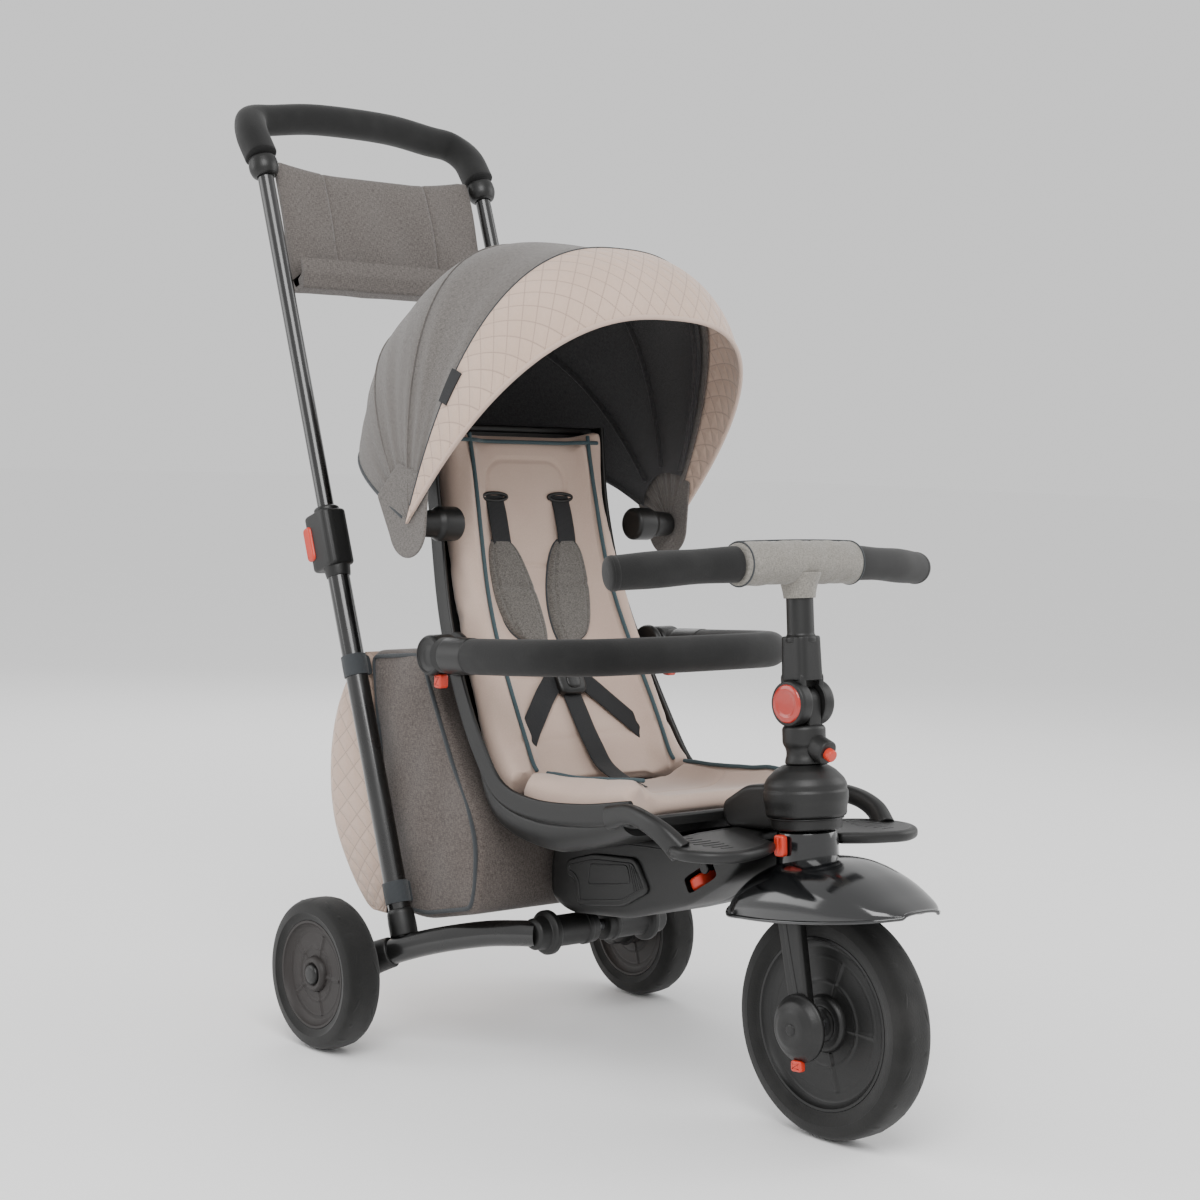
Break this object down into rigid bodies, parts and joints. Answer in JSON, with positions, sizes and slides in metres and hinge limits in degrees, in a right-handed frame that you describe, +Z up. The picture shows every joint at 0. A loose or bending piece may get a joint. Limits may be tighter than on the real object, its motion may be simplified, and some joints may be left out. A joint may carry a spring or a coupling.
{
  "type": "children's tricycle",
  "caption": "Folding children's tricycle with a padded seat, waist bar, canopy, storage bag, footrest and a telescopic parent push handle.",
  "frame": {"origin": "on the ground, at the middle of the bounding box seen from above", "axes": "+X forward towards the front wheel, +Y to the rider's left, +Z up from the ground"},
  "size_m": [1.0082, 0.4984, 1.0719],
  "materials": {
    "tube_black": "gloss black paint on steel tube",
    "satin_black": "satin moulded plastic",
    "gloss_black": "polished moulded plastic",
    "red_plastic": "orange-red moulded plastic",
    "foam": "matte closed-cell foam",
    "tyre": "matte foamed tyre",
    "rim": "brown-grey moulded plastic",
    "steel": "plated steel",
    "grey_cloth": "heathered grey cloth",
    "dark_cloth": "dark heathered grey cloth",
    "beige_cloth": "beige quilted cloth"
  },
  "bodies": {
    "rear_frame": {"rear_arm_left": "tube_black", "rear_arm_right": "tube_black", "rear_axle_left": "steel", "rear_axle_right": "steel", "fold_pin": "steel", "upright_tube_left": "tube_black", "upright_tube_right": "tube_black", "latch_housing_left": "satin_black", "latch_housing_right": "satin_black", "storage_bag": "dark_cloth", "bag_pocket": "beige_cloth"},
    "rear_wheel_left": {"rear_wheel_left_tyre": "tyre", "rear_wheel_left_rim": "rim"},
    "rear_wheel_right": {"rear_wheel_right_tyre": "tyre", "rear_wheel_right_rim": "rim"},
    "push_handle": {"handle_tube_left": "tube_black", "handle_tube_right": "tube_black", "handle_collar_left": "satin_black", "handle_collar_right": "satin_black", "handle_grip": "foam", "handle_bag": "grey_cloth"},
    "latch_left": {"latch_button_left": "red_plastic"},
    "latch_right": {"latch_button_right": "red_plastic"},
    "seat_body": {"seat_shell": "satin_black", "seat_pad_back": "beige_cloth", "seat_pad_base": "beige_cloth", "harness_pad_left": "grey_cloth", "harness_pad_right": "grey_cloth", "harness_buckle": "satin_black", "housing_left": "satin_black", "housing_right": "satin_black", "side_cover_left": "satin_black", "side_cover_right": "satin_black", "footrest": "satin_black", "steering_head": "satin_black", "canopy_knob_left": "satin_black", "canopy_knob_right": "satin_black"},
    "fold_pull": {"fold_handle": "red_plastic"},
    "waist_bar": {"safety_bar": "foam"},
    "bar_button_left": {"bar_release_left": "red_plastic"},
    "bar_button_right": {"bar_release_right": "red_plastic"},
    "canopy": {"canopy_hood": "grey_cloth", "canopy_visor": "beige_cloth"},
    "steering": {"fork": "gloss_black", "mudguard": "gloss_black", "stem_base": "satin_black", "front_axle": "steel", "hub_cover_left": "gloss_black", "hub_cover_right": "gloss_black"},
    "steering_lock": {"steering_lock_lever": "red_plastic"},
    "stem_lock": {"stem_button": "red_plastic"},
    "pedal_clutch": {"pedal_clutch_tab": "red_plastic"},
    "front_wheel": {"front_wheel_tyre": "tyre", "front_wheel_rim": "rim"},
    "handlebar_top": {"stem_upper": "satin_black", "handlebar": "tube_black", "grip_left": "foam", "grip_right": "foam", "handlebar_sleeve": "grey_cloth"},
    "handlebar_lock": {"fold_disc_button": "red_plastic"}
  },
  "joints": [
    {"name": "frame_fold", "type": "hinge", "parent": "rear_frame", "child": "seat_body", "pos_m": [0.02995, 0, 0.143], "axis": [0, 1, 0], "range_deg": [0, 60]},
    {"name": "rear_wheel_left_spin", "type": "hinge", "parent": "rear_frame", "child": "rear_wheel_left", "pos_m": [-0.15705, 0.228, 0.0825], "axis": [0, 1, 0], "continuous": true},
    {"name": "rear_wheel_right_spin", "type": "hinge", "parent": "rear_frame", "child": "rear_wheel_right", "pos_m": [-0.15705, -0.228, 0.0825], "axis": [0, 1, 0], "continuous": true},
    {"name": "handle_height", "type": "slide", "parent": "rear_frame", "child": "push_handle", "axis": [0.3523, 0, -0.9359], "range_m": [0, 0.18]},
    {"name": "latch_left_press", "type": "slide", "parent": "rear_frame", "child": "latch_left", "axis": [0, -1, 0], "range_m": [0, 0.003], "stiffness_N_per_m": 400, "springref_m": -0.002},
    {"name": "latch_right_press", "type": "slide", "parent": "rear_frame", "child": "latch_right", "axis": [0, 1, 0], "range_m": [0, 0.003], "stiffness_N_per_m": 400, "springref_m": -0.002},
    {"name": "waist_bar_lift", "type": "hinge", "parent": "seat_body", "child": "waist_bar", "pos_m": [-0.05405, 0, 0.438], "axis": [0, -1, 0], "range_deg": [0, 65]},
    {"name": "bar_left_press", "type": "slide", "parent": "waist_bar", "child": "bar_button_left", "axis": [0, 0, 1], "range_m": [0, 0.003], "stiffness_N_per_m": 400, "springref_m": -0.002},
    {"name": "bar_right_press", "type": "slide", "parent": "waist_bar", "child": "bar_button_right", "axis": [0, 0, 1], "range_m": [0, 0.003], "stiffness_N_per_m": 400, "springref_m": -0.002},
    {"name": "canopy_tilt", "type": "hinge", "parent": "seat_body", "child": "canopy", "pos_m": [-0.07705, 0, 0.577], "axis": [0, 1, 0], "range_deg": [-10, 45]},
    {"name": "fold_pull_slide", "type": "slide", "parent": "seat_body", "child": "fold_pull", "axis": [0.8511, 0, 0.525], "range_m": [0, 0.008], "stiffness_N_per_m": 500, "springref_m": -0.002},
    {"name": "steering_turn", "type": "hinge", "parent": "seat_body", "child": "steering", "pos_m": [0.34495, 0, 0.3], "axis": [-0.0958, 0, 0.9954], "range_deg": [-40, 40]},
    {"name": "steering_lock_turn", "type": "hinge", "parent": "steering", "child": "steering_lock", "pos_m": [0.34472, -0.036, 0.29194], "axis": [-0.9954, 0, -0.0958], "range_deg": [0, 5]},
    {"name": "stem_lock_press", "type": "slide", "parent": "steering", "child": "stem_lock", "axis": [-0.9457, 0, 0.3251], "range_m": [0, 0.003], "stiffness_N_per_m": 400, "springref_m": -0.002},
    {"name": "pedal_clutch_slide", "type": "slide", "parent": "steering", "child": "pedal_clutch", "axis": [-0.0958, 0, 0.9954], "range_m": [0, 0.003]},
    {"name": "front_wheel_spin", "type": "hinge", "parent": "steering", "child": "front_wheel", "pos_m": [0.39055, 0, 0.1135], "axis": [0, 1, 0], "continuous": true},
    {"name": "handlebar_fold", "type": "hinge", "parent": "steering", "child": "handlebar_top", "pos_m": [0.33336, 0, 0.41995], "axis": [0, 1, 0], "range_deg": [0, 90]},
    {"name": "handlebar_lock_press", "type": "slide", "parent": "handlebar_top", "child": "handlebar_lock", "axis": [0, 1, 0], "range_m": [0, 0.003], "stiffness_N_per_m": 400, "springref_m": -0.002}
  ]
}
